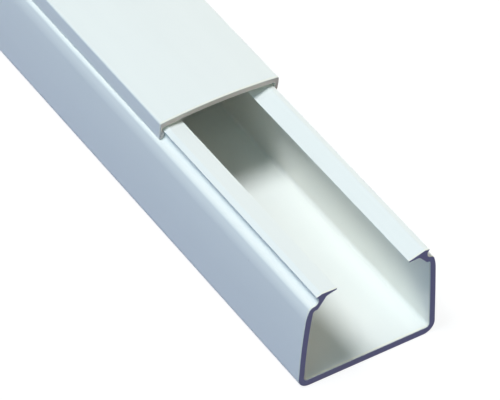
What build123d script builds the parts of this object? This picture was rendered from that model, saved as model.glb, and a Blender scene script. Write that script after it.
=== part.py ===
"""Cord cover raceway: an extruded channel for cables and the lid that snaps over its lips.

Millimetres, +Z up. X runs across the raceway and Y along it, with the near end at -Y.
The origin is at the middle of the channel's flat back face, which goes against the wall.
"""
from build123d import *
import math
import os

# Both extrusions, and how far the lid is drawn back from the near end
LENGTH = 400.0
LID_SETBACK = 42.4

# Channel: floor and leaning side walls
BASE_WIDTH = 25.0
FLOOR_THICKNESS = 1.35
WALL_THICKNESS = 1.08
WALL_LEAN = 1.073
WALL_BOW = 0.08
WALL_BOW_HEIGHT = 9.0
WALL_BOW_RADIUS = 300.0
WALL_BEND_HEIGHT = 14.6
WALL_BEND_RADIUS = 8.0
SHOULDER_HEIGHT = 16.5
SHOULDER_INSET = 0.36
SHOULDER_FALL = 0.25
LEDGE_THICKNESS = 1.12
CORNER_RADIUS = 2.0
INNER_CORNER_RADIUS = 0.6
SHOULDER_RADIUS = 1.0
WALL_TOP_RADIUS = 0.45

# Channel: groove, neck and lip that the lid snaps over
LIP_INSET = 1.277
GROOVE_DEPTH = 0.39
GROOVE_HEIGHT = 1.1
GROOVE_RADIUS = 0.5
LIP_RISE = 0.45
LIP_EDGE = 0.37
LIP_BEVEL = 0.95
LIP_BEVEL_RADIUS = 0.6
LIP_TIP_RADIUS = 0.1
NECK_FOOT_DROP = 1.05
NECK_THICKNESS = 1.45
NECK_RADIUS = 0.6

# Channel: thin flanges either side of the slot; the right one was formed a little low
SLOT_WIDTH = 12.9
FLANGE_THICKNESS = 0.82
FLANGE_TIP_THICKNESS = 0.26
FLANGE_TIP_RADIUS = 0.08
FLANGE_FALL = 0.12
LEFT_DROOP = 0.0
RIGHT_DROOP = 0.95

# Lid: gently crowned top, and skirts with hooks that reach under the lips
LID_CLEARANCE = 0.13
LID_GAP = 0.27
LID_THICKNESS = 0.97
LID_CROWN = 0.55
LID_CORNER_RADIUS = 0.3
LID_INNER_RADIUS = 0.4
SKIRT_THICKNESS = 0.65
SKIRT_TOE_IN = 0.32
SKIRT_STRAIGHT = 1.2
SKIRT_BEND_RADIUS = 2.5
SKIRT_EDGE = 0.3
SKIRT_EDGE_RADIUS = 0.12
HOOK_REACH = 0.22
HOOK_LEAD_IN = 0.5
HOOK_RADIUS = 0.1

# Places that both pieces share
wall_top_x = BASE_WIDTH / 2 - WALL_LEAN
shoulder_x = wall_top_x - SHOULDER_INSET
lip_x = wall_top_x - LIP_INSET
neck_x = lip_x - GROOVE_DEPTH
lip_root_z = SHOULDER_HEIGHT + GROOVE_HEIGHT
lip_tip_z = lip_root_z + LIP_RISE
flange_z = lip_tip_z + LIP_EDGE
tip_x = SLOT_WIDTH / 2
near_end_y = -LENGTH / 2


def rounded_face(corners):
    """Flat face in the XZ plane through (x, z, radius) corners, each rounded by an arc.

    Where an edge is too short for the arcs at its two ends, both arcs shrink to share it.
    """
    points = [Vector(x, 0, z) for x, z, _ in corners]
    radii = [radius for _, _, radius in corners]
    count = len(points)
    towards_last = [(points[i - 1] - points[i]).normalized() for i in range(count)]
    towards_next = [(points[(i + 1) % count] - points[i]).normalized() for i in range(count)]
    half_angles = [
        math.radians(towards_last[i].get_angle(towards_next[i])) / 2 for i in range(count)
    ]
    tangents = [radii[i] / math.tan(half_angles[i]) for i in range(count)]
    shares = [1.0] * count
    for i in range(count):
        j = (i + 1) % count
        room = 0.98 * (points[j] - points[i]).length
        needed = tangents[i] + tangents[j]
        if needed > room:
            shares[i] = min(shares[i], room / needed)
            shares[j] = min(shares[j], room / needed)
    arcs = []
    for i in range(count):
        tangent = tangents[i] * shares[i]
        radius = radii[i] * shares[i]
        inward = (towards_last[i] + towards_next[i]).normalized()
        middle = points[i] + inward * (radius / math.sin(half_angles[i]) - radius)
        start = points[i] + towards_last[i] * tangent
        end = points[i] + towards_next[i] * tangent
        arcs.append((start, middle, end))
    edges = []
    for i in range(count):
        edges.append(ThreePointArc(*arcs[i]))
        edges.append(Line(arcs[i][2], arcs[(i + 1) % count][0]))
    return make_face(edges)


def mirrored(corners):
    """The same corners on the other side of X = 0, in reverse, so that the outline runs on."""
    return [(-x, z, radius) for x, z, radius in reversed(corners)]


def channel_side(droop):
    """Corners of one side of the channel, +X, from the outer bottom corner to the inner one.

    The lean of the straight wall is carried on to the shoulder's height to place the inner side.
    """

    def wall_x(height):
        """Distance from the middle to the straight outer wall at a height."""
        return BASE_WIDTH / 2 - WALL_LEAN * height / SHOULDER_HEIGHT

    def turned(x, height):
        """Height of a flange point once the flange has turned down about its lip."""
        return height - droop * (lip_x - x) / (lip_x - tip_x)

    bow_x = wall_x(WALL_BOW_HEIGHT) + WALL_BOW
    shoulder_z = SHOULDER_HEIGHT - SHOULDER_FALL
    ledge_under_z = SHOULDER_HEIGHT - LEDGE_THICKNESS
    crease_x = lip_x - LIP_BEVEL
    head_x = neck_x - NECK_THICKNESS
    flange_tip_z = flange_z - FLANGE_FALL
    return [
        (BASE_WIDTH / 2, 0, CORNER_RADIUS),
        (bow_x, WALL_BOW_HEIGHT, WALL_BOW_RADIUS),
        (wall_x(WALL_BEND_HEIGHT), WALL_BEND_HEIGHT, WALL_BEND_RADIUS),
        (shoulder_x, shoulder_z, SHOULDER_RADIUS),
        (neck_x, SHOULDER_HEIGHT, GROOVE_RADIUS),
        (neck_x, lip_root_z, LIP_TIP_RADIUS),
        (lip_x, lip_tip_z, LIP_TIP_RADIUS),
        (crease_x, turned(crease_x, flange_z), LIP_BEVEL_RADIUS),
        (tip_x, turned(tip_x, flange_tip_z), FLANGE_TIP_RADIUS),
        (tip_x, turned(tip_x, flange_tip_z - FLANGE_TIP_THICKNESS), FLANGE_TIP_RADIUS),
        (head_x, turned(head_x, flange_z - FLANGE_THICKNESS), NECK_RADIUS),
        (neck_x, SHOULDER_HEIGHT - NECK_FOOT_DROP, NECK_RADIUS),
        (wall_x(ledge_under_z) - WALL_THICKNESS, ledge_under_z, WALL_TOP_RADIUS),
        (bow_x - WALL_THICKNESS, WALL_BOW_HEIGHT, WALL_BOW_RADIUS - WALL_THICKNESS),
        (wall_x(FLOOR_THICKNESS) - WALL_THICKNESS, FLOOR_THICKNESS, INNER_CORNER_RADIUS),
    ]


def lid_corners():
    """Corners of the whole lid, from the outer top corner on +X round to the crown's top.

    The crown is a wide arc between two straight slopes that would meet over the middle.
    """
    inner_x = lip_x + LID_CLEARANCE
    outer_x = inner_x + SKIRT_THICKNESS
    under_z = flange_z + LID_GAP
    crown_slope = 2 * LID_CROWN / inner_x
    apex_under_z = under_z + crown_slope * inner_x
    apex_z = apex_under_z + LID_THICKNESS
    crown_radius = (outer_x - LID_CORNER_RADIUS) / crown_slope
    top_z = apex_z - crown_slope * outer_x
    hem_x = outer_x - SKIRT_TOE_IN
    # The hem stands one clearance above the ledge that falls from the neck to the shoulder
    ledge_slope = SHOULDER_FALL / (shoulder_x - neck_x)
    ledge_drop = ledge_slope * (hem_x - SKIRT_EDGE - neck_x)
    hem_z = SHOULDER_HEIGHT - ledge_drop + LID_CLEARANCE
    hook_x = lip_x - HOOK_REACH
    # The hook's upper face runs along the lip's underside, one clearance away from it
    slope = LIP_RISE / GROOVE_DEPTH
    drop = LID_CLEARANCE * math.hypot(1, slope)
    side = [
        (outer_x, top_z, LID_CORNER_RADIUS),
        (outer_x, top_z - SKIRT_STRAIGHT, SKIRT_BEND_RADIUS),
        (hem_x, hem_z, SKIRT_EDGE_RADIUS),
        (hem_x - SKIRT_EDGE, hem_z, SKIRT_EDGE_RADIUS),
        (hook_x, hem_z + HOOK_LEAD_IN, HOOK_RADIUS),
        (hook_x, lip_root_z + slope * (hook_x - neck_x) - drop, HOOK_RADIUS),
        (inner_x, lip_root_z + slope * (inner_x - neck_x) - drop, HOOK_RADIUS),
        (inner_x, under_z, LID_INNER_RADIUS),
    ]
    under_apex = [(0, apex_under_z, crown_radius - LID_THICKNESS)]
    return side + under_apex + mirrored(side) + [(0, apex_z, crown_radius)]


def extrusion(corners, start_y):
    """The solid that the outline makes when it is run LENGTH along +Y from start_y."""
    solid = extrude(rounded_face(corners), amount=LENGTH, dir=(0, 1, 0))
    return Pos(0, start_y, 0) * solid


base_channel = extrusion(channel_side(RIGHT_DROOP) + mirrored(channel_side(LEFT_DROOP)), near_end_y)
snap_lid = extrusion(lid_corners(), near_end_y + LID_SETBACK)

os.makedirs("parts", exist_ok=True)
for name, solid in (("base_channel", base_channel), ("snap_lid", snap_lid)):
    solid.label = name
    export_step(solid, f"parts/{name}.step")
    box = solid.bounding_box()
    print(name, "volume %.0f mm3" % solid.volume, "low", box.min, "high", box.max)
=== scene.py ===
"""Cord cover raceway: the looks of the extruded channel and of the lid that snaps over its lips.

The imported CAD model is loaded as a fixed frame. Each extrusion is built again here as one smooth
swept surface with softened saw cuts, and stands for its CAD node. Metres, +Z up. X runs across
the raceway and Y along it, with the near end at -Y, as in the CAD source.
"""
import math

import bpy
import numpy as np
from mathutils import Matrix, Vector


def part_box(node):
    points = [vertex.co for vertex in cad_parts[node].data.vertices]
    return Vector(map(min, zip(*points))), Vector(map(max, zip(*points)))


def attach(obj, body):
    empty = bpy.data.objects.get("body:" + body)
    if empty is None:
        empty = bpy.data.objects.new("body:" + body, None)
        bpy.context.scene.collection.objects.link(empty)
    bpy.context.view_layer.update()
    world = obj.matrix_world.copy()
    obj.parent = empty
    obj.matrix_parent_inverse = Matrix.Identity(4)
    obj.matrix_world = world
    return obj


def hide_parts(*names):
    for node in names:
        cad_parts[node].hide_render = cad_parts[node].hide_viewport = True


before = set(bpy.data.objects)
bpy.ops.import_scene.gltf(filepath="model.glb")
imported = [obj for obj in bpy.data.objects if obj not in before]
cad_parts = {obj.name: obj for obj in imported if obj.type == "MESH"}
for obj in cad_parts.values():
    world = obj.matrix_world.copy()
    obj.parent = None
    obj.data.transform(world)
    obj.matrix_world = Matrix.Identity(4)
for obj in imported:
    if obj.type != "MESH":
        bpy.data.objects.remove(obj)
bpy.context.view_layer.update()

bl_info = {
    "name": "Cord Cover Raceway",
    "version": (1, 0, 0),
    "blender": (4, 5, 0),
    "location": "View3D > Sidebar > Raceway",
    "description": "Builds an extruded cord cover raceway, its snap lid and a plain studio",
    "category": "Add Mesh",
}

MM = 0.001
CHANNEL_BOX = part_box("base_channel")
LID_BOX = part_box("snap_lid")

# Sides of the raceway, in the order in which pairs of lengths list them
LEFT = 0
RIGHT = 1

# The photograph's frame, whose width the camera's sensor spans
IMAGE_WIDTH = 500
SENSOR_WIDTH = 36.0

# Steps that every sweep uses, and the share of an edge that the arcs at its ends may take up
ARC_STEPS = 12
RIM_STEPS = 4
RUN_STEPS = 40
EDGE_SHARE = 0.98

# Slow waves of the flanges' free edges: share of the sway, wavelength in metres and phase
SWAY_WAVES = ((0.6, 0.087, 0.7), (0.4, 0.039, 0.0))

# Width of the band of skin beside each saw cut that carries a painted highlight
HIGHLIGHT_BAND = 0.25 * MM

# Values of the mesh attribute "sawn", which is 0 on the skin away from the cuts, and how far
# below such a value the shader's step up to it begins and ends
# The band's value marks the skin beside each cut that carries a painted highlight
ON_HIGHLIGHT_BAND = 0.25
ON_RIM = 0.5
ON_CUT = 1.0
STEP_BEGINS = 0.2
STEP_ENDS = 0.05

# Noise on the vinyl: cycles for each metre across, along and up, then detail and roughness
MOTTLE_NOISE = ((210, 24, 210), 4.0, 0.55)
DIE_LINE_NOISE = ((2400, 9, 2400), 2.0, 0.6)
RUBBED_NOISE = ((95, 38, 95), 5.0, 0.65)
SAW_GRAIN_NOISE = ((2600, 2600, 2600), 3.0, 0.6)
SAW_PATCH_NOISE = ((330, 330, 330), 2.0, 0.5)
NOISE_MIDDLE = 0.5

# Where rubbed patches begin, and what the die lines add to the roughness
RUBBED_STEP = (0.5, 0.72)
DIE_LINE_ROUGHNESS = 0.12

# Specks: cells for each metre, a speck's edge in its cell, which cells have one, shade and height
SPECK_SCALE = 260.0
SPECK_EDGE = (0.045, 0.02)
SPECK_CHOICE = (0.86, 0.9)
SPECK_SHADE = -0.16
SPECK_HEIGHT = 0.5

# Saw cuts: the origin as seen from the blade's middle, the arcs' scale, shades, the grain's height
SAW_ORIGIN = (0.062, 0.0, -0.118)
SAW_ARC_SCALE = 760.0
SAW_DARKEST = 0.83
SAW_ARC_SHADE = 0.1
SAW_GRAIN_SHADE = 0.12
SAW_PATCH_SHADE = 0.12
SAW_GRAIN_HEIGHT = 0.4

# What is added to each piece's coordinates, so that the patterns of the two skins differ
CHANNEL_PATTERN_SHIFT = (0.0, 0.0, 0.0)
LID_PATTERN_SHIFT = (0.31, 0.17, 0.05)

VINYL_IOR = 1.53
WHITE = (1.0, 1.0, 1.0, 1.0)

# Nearest that the camera sees, in metres
CLIP_START = 0.01

# Directions that the lamps shine from
KEY_DIRECTION = (-0.376, 0.085, 1.0)
FILL_DIRECTIONS = {
    "front_fill": (-0.6, -0.75, 0.5),
    "left_fill": (-1.0, 0.0, 0.75),
    "right_fill": (1.0, 0.4, 0.12),
    "end_fill": (0.6, -1.0, 0.12),
    "back_fill": (0.1, 1.0, 0.12),
}


def length(name, millimetres, description):
    """A length property, with its default given in millimetres and kept in metres."""
    return bpy.props.FloatProperty(
        name=name,
        description=description,
        default=millimetres * MM,
        unit="LENGTH",
        precision=6,
    )


def pair(name, left, right, description):
    """Two lengths, for the left and the right side, given in millimetres and kept in metres."""
    return bpy.props.FloatVectorProperty(
        name=name,
        description=description,
        default=(left * MM, right * MM),
        size=2,
        unit="LENGTH",
        precision=6,
    )


def colour(name, value, description):
    """A linear colour property."""
    return bpy.props.FloatVectorProperty(
        name=name,
        description=description,
        default=value,
        size=3,
        min=0.0,
        subtype="COLOR",
    )


def share(name, value, description):
    """A property from 0 to 1."""
    return bpy.props.FloatProperty(
        name=name,
        description=description,
        default=value,
        min=0.0,
        max=1.0,
        subtype="FACTOR",
    )


def angle(name, degrees, description):
    """An angle property, with its default given in degrees."""
    return bpy.props.FloatProperty(
        name=name,
        description=description,
        default=math.radians(degrees),
        subtype="ANGLE",
    )


class ChannelSizes(bpy.types.PropertyGroup):
    """Section of the channel, named as in the CAD source, with what sets its two sides apart."""

    base_width: length("Base width", 25.0, "Across the bottom corners before they are rounded")
    floor_thickness: length("Floor thickness", 1.35, "Floor between the walls")
    wall_thickness: length("Wall thickness", 1.08, "Side walls, measured across")
    wall_lean: length("Wall lean", 1.073, "How far each wall leans in, up to the shoulder")
    foot_in: pair("Foot in", 0.075, 0.0, "Each bottom corner in from the base width")
    wall_bow: pair("Wall bow", 0.3, 0.04, "How far each wall bows out of its straight lean")
    wall_bow_height: length("Wall bow height", 9.0, "Where it bows most")
    wall_bow_radius: length("Wall bow radius", 110.0, "Rounding of the bow")
    wall_bend_height: length("Wall bend height", 14.6, "Where the wall turns in to the shoulder")
    bend_out: pair("Bend out", 0.13, 0.0, "That place out from the straight lean")
    wall_bend_radius: length("Wall bend radius", 8.0, "Rounding of that turn")
    shoulder_height: length("Shoulder height", 16.5, "Ledge height at the neck")
    shoulder_inset: length("Shoulder inset", 0.36, "Shoulder's edge in from the leaning wall")
    shoulder_fall: length("Shoulder fall", 0.25, "Drop of the ledge from the neck outwards")
    shoulder_radius: length("Shoulder radius", 0.8, "Rounding of the shoulder's edge")
    ledge_thickness: length("Ledge thickness", 1.12, "Ledge between shoulder and neck")
    corner_radius: length("Corner radius", 2.0, "Outer bottom corners")
    inner_corner_radius: length("Inner corner radius", 0.6, "Where floor and wall meet inside")
    wall_top_radius: length("Wall top radius", 0.45, "Where wall and ledge meet inside")
    lip_inset: length("Lip inset", 1.277, "Lip's edge in from the leaning wall")
    lip_out: pair("Lip out", -0.07, 0.1, "Each lip and its neck out from there")
    groove_depth: length("Groove depth", 0.39, "Groove below the lip")
    groove_height: length("Groove height", 1.1, "Groove from ledge to lip")
    groove_radius: length("Groove radius", 0.8, "Foot of the groove")
    lip_rise: length("Lip rise", 0.45, "Slope of the lip's underside")
    lip_edge: length("Lip edge", 0.37, "Crease above the lip's edge")
    lip_bevel: length("Lip bevel", 0.95, "Lip's edge to the crease")
    lip_bevel_radius: length("Lip bevel radius", 0.6, "Rounding of the crease")
    lip_tip_radius: length("Lip tip radius", 0.1, "Rounding of the lip's edge")
    neck_foot_drop: length("Neck foot drop", 1.05, "Underside of the neck's foot below the ledge")
    neck_thickness: length("Neck thickness", 1.45, "Neck's head from the groove to the inside")
    neck_radius: length("Neck radius", 0.6, "Roundings of the neck's inner side")
    slot_width: length("Slot width", 12.9, "Between the flanges' edges")
    flange_thickness: length("Flange thickness", 0.82, "Flange at the neck")
    flange_tip_thickness: length("Flange tip thickness", 0.26, "Flange at the slot")
    flange_tip_radius: length("Flange tip radius", 0.08, "Rounding of the flange's edge")
    flange_fall: length("Flange fall", 0.12, "Drop of the flange from the crease to the slot")
    droop: pair("Droop", 0.0, 0.95, "How low each flange's edge was formed")
    flange_sway: length("Flange sway", 0.05, "Slow rise and fall of the flanges' free edges")
    cut_rim: length("Cut rim", 0.06, "Softening of the saw cut's edges")
    inner_cut_rim: length("Inner cut rim", 0.12, "The same round the inside")
    thin_cut_rim: length("Thin cut rim", 0.035, "The same on thin edges")


class LidSizes(bpy.types.PropertyGroup):
    """Section of the lid, named as in the CAD source, with what sets its left skirt apart."""

    clearance: length("Clearance", 0.13, "Between the lid and the channel's lips")
    gap: length("Gap", 0.27, "Between the crease and the lid's underside at the lip")
    thickness: length("Thickness", 0.97, "Lid's top")
    crown: length("Crown", 0.535, "Rise of the middle")
    corner_radius: length("Corner radius", 0.3, "Outer top corners")
    inner_radius: length("Inner radius", 0.4, "Inner top corners")
    skirt_thickness: length("Skirt thickness", 0.65, "Skirt at the top")
    skirt_toe_in: length("Skirt toe-in", 0.32, "How far the skirt turns in at its edge")
    skirt_straight: length("Skirt straight", 1.2, "Straight part of the skirt")
    skirt_bend_radius: length("Skirt bend radius", 2.5, "Rounding between the skirt's two parts")
    shift: length("Shift", 0.1, "How far the lid sits to the right")
    left_top_in: length("Left top in", 0.27, "Left skirt's top, in from where the right one is")
    left_middle_in: length("Left middle in", 0.2, "The same for its middle")
    left_hem_out: length("Left hem out", 0.17, "Left skirt's edge, out from where the right one is")
    skirt_edge: length("Skirt edge", 0.3, "Flat of the skirt's lower edge")
    skirt_edge_radius: length("Skirt edge radius", 0.12, "Roundings of that edge")
    hook_reach: length("Hook reach", 0.22, "How far the hook reaches under the lip")
    hook_lead_in: length("Hook lead-in", 0.5, "Height of the slope below the hook")
    hook_radius: length("Hook radius", 0.1, "Roundings of the hook")
    cut_rim: length("Cut rim", 0.09, "Softening of the saw cut's edges")
    thin_cut_rim: length("Thin cut rim", 0.035, "The same on thin edges")


class VinylFinish(bpy.types.PropertyGroup):
    """Colours and surface of the rigid vinyl."""

    skin: colour("Skin", (0.935, 0.925, 0.86), "Extruded surfaces")
    # Painted shade: the channel's sawn ends are coloured dark slate-blue to stand in for the shade
    # that falls on them
    channel_cut_painted_shade: colour("Channel cut", (0.305, 0.275, 0.43), "Sawn ends of the channel")
    # Painted shade: the lid's sawn ends are coloured warm grey to stand in for the shade and
    # bounced light on them
    lid_cut_painted_shade: colour("Lid cut", (0.73, 0.645, 0.58), "Sawn ends of the lid")
    # Painted highlight: the rounded rims of the saw cuts are coloured pale cream against the darker
    # cut, standing in for light caught along the edge
    rim: colour("Rim", (0.84, 0.82, 0.74), "Edges of the saw cuts")
    # Painted highlight: a pale cream band on the skin beside each saw cut stands in for light
    # caught along the cut's edge
    painted_highlight: colour("Painted highlight", (0.98, 0.94, 0.80), "Painted highlight on the skin beside the saw cuts")
    mottle: share("Mottle", 0.035, "Uneven whiteness along the extrusion")
    die_lines: share("Die lines", 0.012, "Paler and darker lines drawn along by the die")
    scuffs: share("Scuffs", 0.1, "Change of roughness where the surface is rubbed")
    roughness: share("Roughness", 0.32, "Satin skin")
    cut_roughness: share("Cut roughness", 0.72, "Sawn ends and their rims")
    specular: share("Specular", 0.35, "Strength of the skin's reflection")
    relief: length("Relief", 0.02, "Height of the die lines, specks and saw marks")
    relief_strength: share("Relief strength", 0.35, "How much of that relief shows")


class StudioSetup(bpy.types.PropertyGroup):
    """Camera at the photograph's viewing angle, lamps and floor."""

    azimuth: angle("Azimuth", -34.913, "Camera's turn from the near end towards the left wall")
    elevation: angle("Elevation", 43.076, "Camera above the horizon")
    roll: angle("Roll", 2.885, "Camera's turn about its own axis")
    distance: length("Distance", 646.06, "Camera to the plane that faces it through the aim")
    aim_right: length("Aim right", 17.5602, "Image's middle to the near end, along the image")
    aim_up: length("Aim up", -24.0432, "Image's middle to the near end, up the image")
    focal_pixels: bpy.props.FloatProperty(
        name="Focal length",
        description="In pixels of the photograph's frame",
        default=4290.1,
        min=1.0,
    )
    key: colour("Key", (0.715, 0.77, 0.825), "Main lamp, above and a little to the left")
    key_softness: angle("Key softness", 20.0, "Angle that the main lamp spans")
    fill_softness: angle("Fill softness", 60.0, "Angle that each wide lamp spans")
    front_fill: colour("Front fill", (0.08, 0.145, 0.165), "Wide lamp in front and to the left")
    left_fill: colour("Left fill", (0.0, 0.04, 0.09), "Wide lamp on the left")
    right_fill: colour("Right fill", (0.31, 0.33, 0.31), "Wide low lamp on the right")
    end_fill: colour("End fill", (0.23, 0.19, 0.14), "Wide low lamp that shines in at the near end")
    back_fill: colour("Back fill", (0.10, 0.10, 0.10), "Wide low lamp behind the far end")
    ambient: colour("Ambient", (0.02, 0.02, 0.015), "Light from all round")
    floor_reach: length("Floor reach", 4000.0, "Floor on each side of the middle")
    floor_drop: length("Floor drop", 0.05, "Floor below the channel's back face")
    floor_white: share("Floor white", 0.90, "White that the floor shows without the lamps")
    floor_tint: colour("Floor tint", (0.16, 0.16, 0.16), "What the lamps add to the floor")
    floor_bounce: colour("Floor bounce", (0.0, 0.01, 0.18), "What the floor sends back up")


def lip_places(channel):
    """Places that channel and lid share: lip and neck from the middle, lip's root, edge, crease.

    Each follows from the leaning wall's x at the shoulder's height, and from the sizes of the
    groove and the lip that stand on the ledge.
    """
    lip_x = channel.base_width / 2 - channel.wall_lean - channel.lip_inset
    neck_x = lip_x - channel.groove_depth
    lip_root_z = channel.shoulder_height + channel.groove_height
    lip_tip_z = lip_root_z + channel.lip_rise
    flange_z = lip_tip_z + channel.lip_edge
    return lip_x, neck_x, lip_root_z, lip_tip_z, flange_z


def mirrored(rows):
    """The same corners on the other side of X = 0, in reverse, so that the outline runs on."""
    return rows[::-1] * np.array([-1.0, 1.0, 1.0, 1.0, 1.0])


def channel_side(channel, side):
    """Corner rows (x, z, radius, rim, sway) of one side, from the outer bottom to the inner one.

    The wall's x falls in proportion to its height. A flange point drops in proportion to its
    distance from the lip, as if the flange had turned about the lip.
    """
    lip_x, neck_x, lip_root_z, lip_tip_z, flange_z = lip_places(channel)
    lip_x += channel.lip_out[side]
    neck_x += channel.lip_out[side]
    tip_x = channel.slot_width / 2
    lean = channel.wall_lean / channel.shoulder_height
    shoulder_x = channel.base_width / 2 - channel.wall_lean - channel.shoulder_inset
    shoulder_z = channel.shoulder_height - channel.shoulder_fall
    bow_x = channel.base_width / 2 - lean * channel.wall_bow_height + channel.wall_bow[side]
    foot_x = channel.base_width / 2 - channel.foot_in[side]
    bend_x = channel.base_width / 2 - lean * channel.wall_bend_height + channel.bend_out[side]
    ledge_z = channel.shoulder_height - channel.ledge_thickness
    ledge_x = channel.base_width / 2 - lean * ledge_z - channel.wall_thickness
    floor_x = channel.base_width / 2 - lean * channel.floor_thickness - channel.wall_thickness
    crease_x = lip_x - channel.lip_bevel
    head_x = neck_x - channel.neck_thickness
    turn = channel.droop[side] / (lip_x - tip_x)
    tip_z = flange_z - channel.flange_fall - turn * (lip_x - tip_x)
    crease_z = flange_z - turn * (lip_x - crease_x)
    head_z = flange_z - channel.flange_thickness - turn * (lip_x - head_x)
    foot_z = channel.shoulder_height - channel.neck_foot_drop
    under_z = tip_z - channel.flange_tip_thickness
    inner_bow_radius = channel.wall_bow_radius - channel.wall_thickness
    rim = channel.cut_rim
    inner = channel.inner_cut_rim
    thin = channel.thin_cut_rim
    return np.array(
        [
            (foot_x, 0, channel.corner_radius, rim, 0),
            (bow_x, channel.wall_bow_height, channel.wall_bow_radius, rim, 0),
            (bend_x, channel.wall_bend_height, channel.wall_bend_radius, rim, 0),
            (shoulder_x, shoulder_z, channel.shoulder_radius, rim, 0),
            (neck_x, channel.shoulder_height, channel.groove_radius, rim, 0),
            (neck_x, lip_root_z, channel.lip_tip_radius, thin, 0),
            (lip_x, lip_tip_z, channel.lip_tip_radius, thin, 0),
            (crease_x, crease_z, channel.lip_bevel_radius, thin, 0),
            (tip_x, tip_z, channel.flange_tip_radius, thin, 1),
            (tip_x, under_z, channel.flange_tip_radius, thin, 1),
            (head_x, head_z, channel.neck_radius, thin, 0),
            (neck_x, foot_z, channel.neck_radius, rim, 0),
            (ledge_x, ledge_z, channel.wall_top_radius, inner, 0),
            (bow_x - channel.wall_thickness, channel.wall_bow_height, inner_bow_radius, inner, 0),
            (floor_x, channel.floor_thickness, channel.inner_corner_radius, inner, 0),
        ]
    )


def lid_rows(channel, lid):
    """Corner rows (x, z, radius, rim, sway) of the whole lid, from its outer top corner on +X.

    The crown is a wide arc between two straight slopes that would meet over the middle. The
    hook's upper face runs along the lip's underside, one clearance away from it. The left side
    mirrors the right one, apart from its skirt's outer corners, whose top follows the crown's
    slope. Then the whole section moves across by the lid's shift.
    """
    lip_x, neck_x, lip_root_z, _, flange_z = lip_places(channel)
    inner_x = lip_x + lid.clearance
    outer_x = inner_x + lid.skirt_thickness
    under_z = flange_z + lid.gap
    crown_slope = 2 * lid.crown / inner_x
    apex_under_z = under_z + crown_slope * inner_x
    apex_z = apex_under_z + lid.thickness
    crown_radius = (outer_x - lid.left_top_in - lid.corner_radius) / crown_slope
    top_z = apex_z - crown_slope * outer_x
    hem_x = outer_x - lid.skirt_toe_in
    shoulder_x = channel.base_width / 2 - channel.wall_lean - channel.shoulder_inset
    ledge_slope = channel.shoulder_fall / (shoulder_x - neck_x)
    ledge_drop = ledge_slope * (hem_x - lid.skirt_edge - neck_x)
    hem_z = channel.shoulder_height - ledge_drop + lid.clearance
    hook_x = lip_x - lid.hook_reach
    slope = channel.lip_rise / channel.groove_depth
    drop = lid.clearance * math.hypot(1, slope)
    hook_z = lip_root_z + slope * (hook_x - neck_x) - drop
    root_z = lip_root_z + slope * (inner_x - neck_x) - drop
    rim = lid.cut_rim
    thin = lid.thin_cut_rim
    side = np.array(
        [
            (outer_x, top_z, lid.corner_radius, rim, 0),
            (outer_x, top_z - lid.skirt_straight, lid.skirt_bend_radius, rim, 0),
            (hem_x, hem_z, lid.skirt_edge_radius, thin, 0),
            (hem_x - lid.skirt_edge, hem_z, lid.skirt_edge_radius, thin, 0),
            (hook_x, hem_z + lid.hook_lead_in, lid.hook_radius, thin, 0),
            (hook_x, hook_z, lid.hook_radius, thin, 0),
            (inner_x, root_z, lid.hook_radius, thin, 0),
            (inner_x, under_z, lid.inner_radius, rim, 0),
        ]
    )
    under_apex = [(0, apex_under_z, crown_radius - lid.thickness, rim, 0)]
    apex = [(0, apex_z, crown_radius, rim, 0)]
    left = mirrored(side)
    left[-3:, 0] += np.array([-lid.left_hem_out, lid.left_middle_in, lid.left_top_in])
    left[-1, 1] += crown_slope * lid.left_top_in
    rows = np.concatenate([side, under_apex, left, apex])[::-1]
    rows[:, 0] += lid.shift
    return rows


def rounded_outline(rows):
    """Outline, outward normals, rim and sway of a section whose corners are rounded by arcs.

    An arc touches both edges of its corner at radius / tan(half the corner's angle). Where an
    edge is too short for its two arcs, both shrink to share it. The arc's points are its centre
    plus the vector to its start turned evenly into the vector to its end. At a convex corner the
    outward normal is that vector's direction, and at a hollow one the opposite.
    """
    points = rows[:, :2]
    towards_last = np.roll(points, 1, 0) - points
    towards_next = np.roll(points, -1, 0) - points
    edge = np.linalg.norm(towards_next, axis=1)
    towards_last = towards_last / np.linalg.norm(towards_last, axis=1)[:, None]
    towards_next = towards_next / edge[:, None]
    half = np.arccos((towards_last * towards_next).sum(1)) / 2
    tangent = rows[:, 2] / np.tan(half)
    room = np.minimum(1, EDGE_SHARE * edge / (tangent + np.roll(tangent, -1)))
    kept = np.minimum(room, np.roll(room, 1))
    tangent = tangent * kept
    radius = rows[:, 2] * kept
    inward = towards_last + towards_next
    inward = inward / np.linalg.norm(inward, axis=1)[:, None]
    centre = points + inward * (radius / np.sin(half))[:, None]
    start = points + towards_last * tangent[:, None] - centre
    end = points + towards_next * tangent[:, None] - centre
    turn = (math.pi - 2 * half)[:, None]
    step = np.linspace(0, 1, ARC_STEPS + 1)[None, :]
    from_start = (np.sin((1 - step) * turn) / np.sin(turn))[..., None]
    from_end = (np.sin(step * turn) / np.sin(turn))[..., None]
    spoke = start[:, None] * from_start + end[:, None] * from_end
    # Along a counter-clockwise outline a convex corner turns left
    left = towards_last[:, 1] * towards_next[:, 0] - towards_last[:, 0] * towards_next[:, 1]
    normal = spoke * (np.sign(left) / radius)[:, None, None]
    outline = (centre[:, None] + spoke).reshape(-1, 2)
    each = ARC_STEPS + 1
    return outline, normal.reshape(-1, 2), np.repeat(rows[:, 3], each), np.repeat(rows[:, 4], each)


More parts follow.
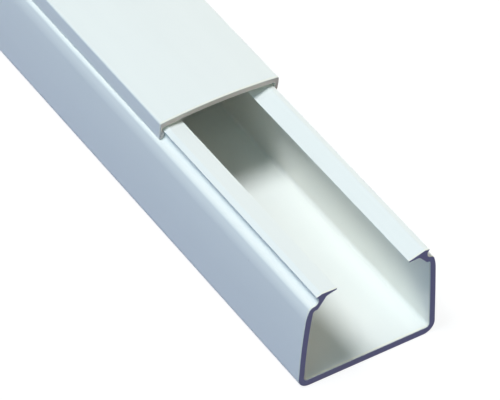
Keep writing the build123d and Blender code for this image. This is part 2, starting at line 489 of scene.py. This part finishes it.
def swept_stock(name, rows, near_y, far_y, sway):
    """Closed mesh of a straight extrusion: the rounded section carried along Y from cut to cut.

    Through each rim the section shrinks by rim x (1 - cos t) and stands rim x (1 - sin t) in from
    the cut, with t from a right angle at the cut to none at the skin, and its normals turn by t
    towards the cut. One more ring, a band's width past the rim, bounds the band of skin that
    carries a painted highlight. Free edges rise and fall along the run as a sum of two slow sines.
    """
    outline, normal, rim, free = rounded_outline(rows)
    turn = np.linspace(math.pi / 2, 0, RIM_STEPS)
    run = np.linspace(0, 1, RUN_STEPS + 1)[1:-1]
    turns = np.concatenate([turn, np.zeros(run.size + 2), turn[::-1]])[:, None]
    at_far = np.concatenate([np.zeros(RIM_STEPS + 1), run, np.ones(RIM_STEPS + 1)])[:, None]
    facing = np.sign(at_far - 0.5)
    from_cut = rim * (1 - np.sin(turns)) * ((at_far == 0) | (at_far == 1))
    from_cut[[RIM_STEPS, -1 - RIM_STEPS]] += HIGHLIGHT_BAND
    along = near_y + (far_y - near_y) * at_far - facing * from_cut
    inset = rim * (1 - np.cos(turns))
    across = outline[:, 0] - normal[:, 0] * inset
    wander = sum(
        part * np.sin(along * 2 * math.pi / wave + phase) for part, wave, phase in SWAY_WAVES
    )
    height = outline[:, 1] - normal[:, 1] * inset - free * sway * (0.5 + 0.5 * wander)
    verts = np.stack([across, along + 0 * across, height], -1)
    skin_x = normal[:, 0] * np.cos(turns)
    skin_z = normal[:, 1] * np.cos(turns)
    skin_y = facing * np.sin(turns) + 0 * skin_x
    vert_normals = np.stack([skin_x, skin_y, skin_z], -1).reshape(-1, 3)

    stations, count = across.shape
    index = np.arange(stations * count).reshape(stations, count)
    here, there = index[:-1], index[1:]
    quads = np.stack([here, there, np.roll(there, -1, 1), np.roll(here, -1, 1)], -1).reshape(-1, 4)
    faces = quads.tolist() + [index[0].tolist(), index[-1][::-1].tolist()]
    mesh = bpy.data.meshes.new(name)
    mesh.from_pydata(verts.reshape(-1, 3).tolist(), [], faces)

    bands = np.zeros((stations - 1, count), np.float32)
    # Faces of the band beside each cut, which carries a painted highlight
    bands[[RIM_STEPS - 1, -RIM_STEPS]] = ON_HIGHLIGHT_BAND
    bands[: RIM_STEPS - 1] = ON_RIM
    bands[1 - RIM_STEPS :] = ON_RIM
    sawn = np.concatenate([bands.ravel(), [ON_CUT, ON_CUT]]).astype(np.float32)
    mesh.attributes.new("sawn", "FLOAT", "FACE").data.foreach_set("value", sawn)
    smooth = np.ones(len(faces), bool)
    smooth[-2:] = False
    mesh.polygons.foreach_set("use_smooth", smooth)
    ends = np.zeros((2 * count, 3))
    ends[:count, 1] = -1
    ends[count:, 1] = 1
    mesh.normals_split_custom_set(np.concatenate([vert_normals[quads.ravel()], ends]).tolist())
    piece = bpy.data.objects.new(name, mesh)
    bpy.context.scene.collection.objects.link(piece)
    return piece


def new_group(name, inputs, outputs):
    """An empty shader node group with the named sockets, and its input and output nodes."""
    group = bpy.data.node_groups.new(name, "ShaderNodeTree")
    for socket, kind in inputs:
        group.interface.new_socket(name=socket, in_out="INPUT", socket_type=kind)
    for socket, kind in outputs:
        group.interface.new_socket(name=socket, in_out="OUTPUT", socket_type=kind)
    return group, group.nodes.new("NodeGroupInput"), group.nodes.new("NodeGroupOutput")


def node(tree, kind, links=None, **settings):
    """A node with its settings, and its inputs linked to sockets or set to values."""
    made = tree.nodes.new(kind)
    for setting, value in settings.items():
        setattr(made, setting, value)
    for socket, value in (links or {}).items():
        if isinstance(value, bpy.types.NodeSocket):
            tree.links.new(value, made.inputs[socket])
        else:
            made.inputs[socket].default_value = value
    return made


def empty_tree(owner):
    """Node tree of a material or a world, with its first nodes taken out."""
    owner.use_nodes = True
    owner.node_tree.nodes.clear()
    return owner.node_tree


def math_node(tree, operation, first, second, third=0.0, clamp=False):
    """Output of a Math node."""
    links = {0: first, 1: second, 2: third}
    return node(tree, "ShaderNodeMath", links, operation=operation, use_clamp=clamp).outputs[0]


def stretched_noise(tree, vector, scale, detail, roughness):
    """Noise value on coordinates stretched by a scale for each axis, in cycles for each metre."""
    mapping = node(tree, "ShaderNodeMapping", {"Vector": vector, "Scale": scale})
    links = {"Vector": mapping.outputs[0], "Scale": 1.0, "Detail": detail, "Roughness": roughness}
    return node(tree, "ShaderNodeTexNoise", links).outputs["Fac"]


def soft_step(tree, value, low, high):
    """A value turned into a smooth step from 0 at low to 1 at high."""
    links = {"Value": value, "From Min": low, "From Max": high}
    made = node(tree, "ShaderNodeMapRange", links, interpolation_type="SMOOTHSTEP")
    return made.outputs["Result"]


def reached(tree, value, level):
    """1 where a value has come up to a level, and 0 where it is well short of it."""
    return soft_step(tree, value, level - STEP_BEGINS, level - STEP_ENDS)


def mixed_colour(tree, factor, first, second):
    """Output of a Mix node between two colours."""
    links = {"Factor": factor, 6: first, 7: second}
    return node(tree, "ShaderNodeMix", links, data_type="RGBA").outputs[2]


def mixed_value(tree, factor, first, second):
    """Output of a Mix node between two values."""
    links = {"Factor": factor, 2: first, 3: second}
    return node(tree, "ShaderNodeMix", links).outputs[0]


def scaled_colour(tree, tint, level):
    """A colour made darker or brighter by a level."""
    links = {0: tint, "Scale": level}
    return node(tree, "ShaderNodeVectorMath", links, operation="SCALE").outputs[0]


def vinyl_skin_group():
    """Extruded vinyl: mottling drawn out along the run, die lines, rubbed patches and specks."""
    group, inputs, outputs = new_group(
        "Extruded vinyl",
        [
            ("Vector", "NodeSocketVector"),
            ("Tint", "NodeSocketColor"),
            ("Mottle", "NodeSocketFloat"),
            ("Die Lines", "NodeSocketFloat"),
            ("Scuffs", "NodeSocketFloat"),
            ("Roughness", "NodeSocketFloat"),
        ],
        [
            ("Color", "NodeSocketColor"),
            ("Roughness", "NodeSocketFloat"),
            ("Height", "NodeSocketFloat"),
        ],
    )
    vector = inputs.outputs["Vector"]
    mottle = stretched_noise(group, vector, *MOTTLE_NOISE)
    lines = stretched_noise(group, vector, *DIE_LINE_NOISE)
    rubbed = stretched_noise(group, vector, *RUBBED_NOISE)
    rubbed = soft_step(group, rubbed, *RUBBED_STEP)
    cells = node(group, "ShaderNodeTexVoronoi", {"Vector": vector, "Scale": SPECK_SCALE})
    chosen = node(group, "ShaderNodeSeparateColor", {0: cells.outputs["Color"]}).outputs[0]
    speck = soft_step(group, cells.outputs["Distance"], *SPECK_EDGE)
    speck = math_node(group, "MULTIPLY", speck, soft_step(group, chosen, *SPECK_CHOICE))
    level = math_node(group, "SUBTRACT", mottle, NOISE_MIDDLE)
    level = math_node(group, "MULTIPLY_ADD", level, inputs.outputs["Mottle"], 1.0)
    drawn = math_node(group, "SUBTRACT", lines, NOISE_MIDDLE)
    level = math_node(group, "MULTIPLY_ADD", drawn, inputs.outputs["Die Lines"], level)
    level = math_node(group, "MULTIPLY_ADD", speck, SPECK_SHADE, level)
    tinted = scaled_colour(group, inputs.outputs["Tint"], level)
    group.links.new(tinted, outputs.inputs["Color"])
    rough = math_node(
        group, "MULTIPLY_ADD", rubbed, inputs.outputs["Scuffs"], inputs.outputs["Roughness"]
    )
    rough = math_node(group, "MULTIPLY_ADD", drawn, DIE_LINE_ROUGHNESS, rough, clamp=True)
    group.links.new(rough, outputs.inputs["Roughness"])
    height = math_node(group, "MULTIPLY_ADD", speck, SPECK_HEIGHT, lines)
    group.links.new(height, outputs.inputs["Height"])
    return group


def sawn_end_group():
    """Saw cut: arcs left by a round blade whose middle lies far outside the section, and grain."""
    group, inputs, outputs = new_group(
        "Sawn vinyl",
        [("Vector", "NodeSocketVector"), ("Tint", "NodeSocketColor")],
        [("Color", "NodeSocketColor"), ("Height", "NodeSocketFloat")],
    )
    vector = inputs.outputs["Vector"]
    blade = node(group, "ShaderNodeMapping", {"Vector": vector, "Location": SAW_ORIGIN})
    links = {
        "Vector": blade.outputs[0],
        "Scale": SAW_ARC_SCALE,
        "Distortion": 1.4,
        "Detail": 2.0,
        "Detail Scale": 0.35,
    }
    arcs = node(
        group, "ShaderNodeTexWave", links, wave_type="RINGS", rings_direction="Y"
    ).outputs["Fac"]
    grain = stretched_noise(group, vector, *SAW_GRAIN_NOISE)
    patches = stretched_noise(group, vector, *SAW_PATCH_NOISE)
    level = math_node(group, "MULTIPLY_ADD", arcs, SAW_ARC_SHADE, SAW_DARKEST)
    level = math_node(group, "MULTIPLY_ADD", grain, SAW_GRAIN_SHADE, level)
    level = math_node(group, "MULTIPLY_ADD", patches, SAW_PATCH_SHADE, level)
    tinted = scaled_colour(group, inputs.outputs["Tint"], level)
    group.links.new(tinted, outputs.inputs["Color"])
    height = math_node(group, "MULTIPLY_ADD", grain, SAW_GRAIN_HEIGHT, arcs)
    group.links.new(height, outputs.inputs["Height"])
    return group


def vinyl_material(name, finish, cut_shade_colour, shift):
    """White satin vinyl whose sawn ends and their rims are told apart by the piece's attribute. The
    sawn ends carry painted shade, and their rims and a band of skin beside them a painted
    highlight.
    """
    material = bpy.data.materials.new(name)
    tree = empty_tree(material)
    skin_group = bpy.data.node_groups.get("Extruded vinyl") or vinyl_skin_group()
    sawn_group = bpy.data.node_groups.get("Sawn vinyl") or sawn_end_group()
    place = node(tree, "ShaderNodeTexCoord").outputs["Object"]
    moved = node(tree, "ShaderNodeMapping", {"Vector": place, "Location": shift}).outputs[0]
    links = {
        "Vector": moved,
        "Tint": (*finish.skin, 1.0),
        "Mottle": finish.mottle,
        "Die Lines": finish.die_lines,
        "Scuffs": finish.scuffs,
        "Roughness": finish.roughness,
    }
    skin = node(tree, "ShaderNodeGroup", links, node_tree=skin_group)
    # The cut's tint is painted shade
    links = {"Vector": place, "Tint": (*cut_shade_colour, 1.0)}
    sawn = node(tree, "ShaderNodeGroup", links, node_tree=sawn_group)
    mask = node(tree, "ShaderNodeAttribute", attribute_name="sawn").outputs["Fac"]
    on_cut = reached(tree, mask, ON_CUT)
    on_rim = reached(tree, mask, ON_RIM)
    on_highlight_band = reached(tree, mask, ON_HIGHLIGHT_BAND)
    # Painted highlight: the band of skin beside each cut is paled
    highlighted = mixed_colour(tree, on_highlight_band, skin.outputs["Color"], (*finish.painted_highlight, 1.0))
    # Painted highlight: the cut's rim is coloured paler than the cut
    edged = mixed_colour(tree, on_rim, highlighted, (*finish.rim, 1.0))
    base = mixed_colour(tree, on_cut, edged, sawn.outputs["Color"])
    rough = mixed_value(tree, on_rim, skin.outputs["Roughness"], finish.cut_roughness)
    height = mixed_value(tree, on_cut, skin.outputs["Height"], sawn.outputs["Height"])
    links = {"Height": height, "Strength": finish.relief_strength, "Distance": finish.relief}
    bump = node(tree, "ShaderNodeBump", links)
    links = {
        "Base Color": base,
        "Roughness": rough,
        "Normal": bump.outputs[0],
        "Specular IOR Level": finish.specular,
        "IOR": VINYL_IOR,
    }
    shader = node(tree, "ShaderNodeBsdfPrincipled", links)
    node(tree, "ShaderNodeOutputMaterial", {"Surface": shader.outputs[0]})
    return material


def sun(name, direction, light, softness):
    """A sun lamp that shines from a direction and lights a face turned to it to a colour."""
    lamp = bpy.data.lights.new(name, "SUN")
    lamp.color = light
    lamp.energy = math.pi
    lamp.angle = softness
    placed = bpy.data.objects.new(name, lamp)
    placed.rotation_mode = "QUATERNION"
    placed.rotation_quaternion = Vector(direction).to_track_quat("Z", "Y")
    bpy.context.scene.collection.objects.link(placed)


def split_by_sight(tree, bounced, shown):
    """Output of one shader for light that bounces, and of another for rays that see it directly.

    Rays from the camera, from reflections and through glass count as seeing it.
    """
    path = node(tree, "ShaderNodeLightPath").outputs
    seen = math_node(tree, "MAXIMUM", path["Is Camera Ray"], path["Is Glossy Ray"])
    seen = math_node(tree, "MAXIMUM", seen, path["Is Transmission Ray"])
    links = {0: seen, 1: bounced.outputs[0], 2: shown.outputs[0]}
    return node(tree, "ShaderNodeMixShader", links).outputs[0]


class RACEWAY_OT_channel(bpy.types.Operator):
    """Build the channel in place of its CAD node"""

    bl_idname = "raceway.channel"
    bl_label = "Channel"

    def execute(self, context):
        scene = context.scene
        sizes = scene.raceway_channel
        rows = np.concatenate([channel_side(sizes, RIGHT), mirrored(channel_side(sizes, LEFT))])
        near, far = CHANNEL_BOX
        piece = swept_stock("channel_body", rows, near.y, far.y, sizes.flange_sway)
        finish = scene.raceway_finish
        # The channel's cut colour is painted shade
        look = vinyl_material("Channel vinyl", finish, finish.channel_cut_painted_shade, CHANNEL_PATTERN_SHIFT)
        piece.data.materials.append(look)
        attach(piece, "channel")
        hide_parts("base_channel")
        return {"FINISHED"}


class RACEWAY_OT_lid(bpy.types.Operator):
    """Build the snap lid in place of its CAD node"""

    bl_idname = "raceway.lid"
    bl_label = "Lid"

    def execute(self, context):
        scene = context.scene
        rows = lid_rows(scene.raceway_channel, scene.raceway_lid)
        near, far = LID_BOX
        piece = swept_stock("lid_body", rows, near.y, far.y, 0.0)
        finish = scene.raceway_finish
        # The lid's cut colour is painted shade
        look = vinyl_material("Lid vinyl", finish, finish.lid_cut_painted_shade, LID_PATTERN_SHIFT)
        piece.data.materials.append(look)
        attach(piece, "lid")
        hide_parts("snap_lid")
        return {"FINISHED"}


class RACEWAY_OT_stage(bpy.types.Operator):
    """Set up the camera, the lamps, the world and a plain white floor"""

    bl_idname = "raceway.stage"
    bl_label = "Stage"

    def execute(self, context):
        scene = context.scene
        setup = scene.raceway_studio
        self.place_camera(scene, setup)
        self.place_lamps(setup)
        self.light_world(scene, setup)
        self.lay_floor(scene, setup)
        scene.view_settings.view_transform = "Standard"
        return {"FINISHED"}

    def place_camera(self, scene, setup):
        """Camera whose axes follow from azimuth, elevation and roll, aimed past the near end."""
        turn, rise, roll = setup.azimuth, setup.elevation, setup.roll
        back = Vector(
            (
                math.sin(turn) * math.cos(rise),
                -math.cos(turn) * math.cos(rise),
                math.sin(rise),
            )
        )
        level = Vector((math.cos(turn), math.sin(turn), 0.0))
        upright = back.cross(level)
        right = level * math.cos(roll) + upright * math.sin(roll)
        up = upright * math.cos(roll) - level * math.sin(roll)
        near_end = Vector((0.0, CHANNEL_BOX[0].y, 0.0))
        aim = near_end - right * setup.aim_right - up * setup.aim_up
        axes = Matrix((right, up, back)).transposed()
        lens = bpy.data.cameras.new("Camera")
        lens.sensor_width = SENSOR_WIDTH
        lens.lens = setup.focal_pixels / IMAGE_WIDTH * SENSOR_WIDTH
        lens.clip_start = CLIP_START
        camera = bpy.data.objects.new("Camera", lens)
        camera.matrix_world = Matrix.Translation(aim + back * setup.distance) @ axes.to_4x4()
        scene.collection.objects.link(camera)
        scene.camera = camera

    def place_lamps(self, setup):
        """One main lamp, and wide fills for the sides that it leaves dark."""
        sun("Key", KEY_DIRECTION, setup.key, setup.key_softness)
        for fill, direction in FILL_DIRECTIONS.items():
            name = fill.replace("_", " ").capitalize()
            sun(name, direction, getattr(setup, fill), setup.fill_softness)

    def light_world(self, scene, setup):
        """White to the eye, and a dim light from all round for everything else."""
        world = bpy.data.worlds.new("World")
        tree = empty_tree(world)
        dim = node(tree, "ShaderNodeBackground", {"Color": (*setup.ambient, 1.0)})
        white = node(tree, "ShaderNodeBackground", {"Color": WHITE})
        node(tree, "ShaderNodeOutputWorld", {"Surface": split_by_sight(tree, dim, white)})
        scene.world = world

    def lay_floor(self, scene, setup):
        """Flat white floor just under the channel's back face, which keeps the shadow."""
        reach = setup.floor_reach
        level = -setup.floor_drop
        corners = [(-reach, -reach), (reach, -reach), (reach, reach), (-reach, reach)]
        mesh = bpy.data.meshes.new("floor")
        mesh.from_pydata([(x, y, level) for x, y in corners], [], [(0, 1, 2, 3)])
        floor = bpy.data.objects.new("floor", mesh)
        scene.collection.objects.link(floor)
        material = bpy.data.materials.new("Floor")
        tree = empty_tree(material)
        links = {"Color": WHITE, "Strength": setup.floor_white}
        glow = node(tree, "ShaderNodeEmission", links)
        lit = node(tree, "ShaderNodeBsdfDiffuse", {"Color": (*setup.floor_tint, 1.0)})
        shown = node(tree, "ShaderNodeAddShader", {0: glow.outputs[0], 1: lit.outputs[0]})
        bounce = node(tree, "ShaderNodeBsdfDiffuse", {"Color": (*setup.floor_bounce, 1.0)})
        node(tree, "ShaderNodeOutputMaterial", {"Surface": split_by_sight(tree, bounce, shown)})
        mesh.materials.append(material)


class RACEWAY_PT_sidebar(bpy.types.Panel):
    """Sizes, finish and studio of the raceway, and the buttons that build them"""

    bl_idname = "RACEWAY_PT_sidebar"
    bl_label = "Cord cover raceway"
    bl_space_type = "VIEW_3D"
    bl_region_type = "UI"
    bl_category = "Raceway"

    def draw(self, context):
        layout = self.layout
        for attribute, group in SETTINGS:
            box = layout.box()
            for key in group.__annotations__:
                box.prop(getattr(context.scene, attribute), key)
        for operator in ("raceway.channel", "raceway.lid", "raceway.stage"):
            layout.operator(operator)


SETTINGS = (
    ("raceway_channel", ChannelSizes),
    ("raceway_lid", LidSizes),
    ("raceway_finish", VinylFinish),
    ("raceway_studio", StudioSetup),
)
CLASSES = (RACEWAY_OT_channel, RACEWAY_OT_lid, RACEWAY_OT_stage, RACEWAY_PT_sidebar)


def register():
    """Register the settings, the operators and the panel."""
    for attribute, group in SETTINGS:
        bpy.utils.register_class(group)
        setattr(bpy.types.Scene, attribute, bpy.props.PointerProperty(type=group))
    for made in CLASSES:
        bpy.utils.register_class(made)


def unregister():
    """Take back all that register() added."""
    for made in reversed(CLASSES):
        bpy.utils.unregister_class(made)
    for attribute, group in reversed(SETTINGS):
        delattr(bpy.types.Scene, attribute)
        bpy.utils.unregister_class(group)


def main():
    """Build the raceway and its stage."""
    register()
    bpy.ops.raceway.channel()
    bpy.ops.raceway.lid()
    bpy.ops.raceway.stage()


if __name__ == "__main__":
    main()
